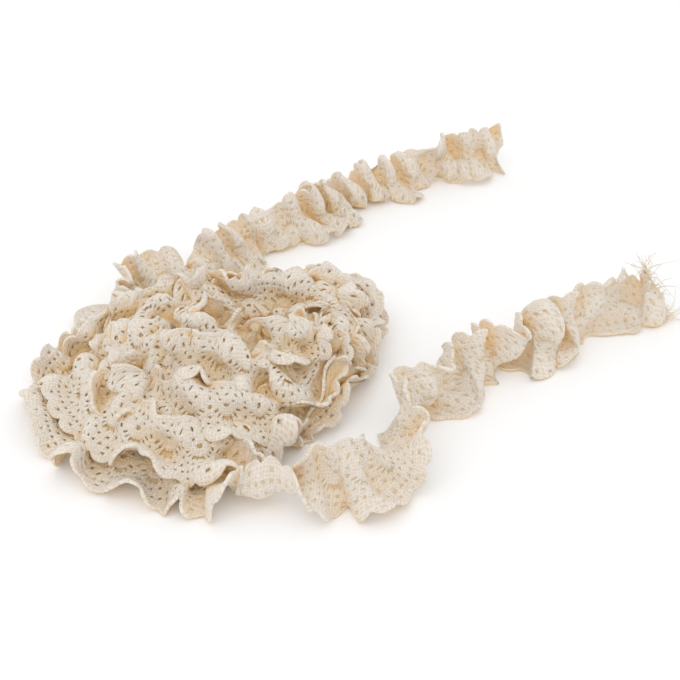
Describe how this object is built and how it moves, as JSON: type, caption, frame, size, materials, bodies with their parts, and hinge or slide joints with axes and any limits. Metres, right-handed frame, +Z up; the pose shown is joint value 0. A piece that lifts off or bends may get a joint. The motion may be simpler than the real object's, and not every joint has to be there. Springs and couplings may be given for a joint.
{
  "type": "hank of lace trim",
  "caption": "Loose heaped hank of gathered cotton lace trim with a scalloped edge, its free ends trailing out across the surface.",
  "frame": {"origin": "on the surface that the hank lies on, under the middle of its heap", "axes": "+Z up from the surface, +X towards the trailing ends, +Y from the front of the heap to its back"},
  "size_m": [0.2447, 0.259, 0.0327],
  "materials": {
    "cotton_lace": "matte"
  },
  "bodies": {
    "root": {"hank": "cotton_lace", "front_tail": "cotton_lace", "back_tail": "cotton_lace"}
  },
  "joints": []
}
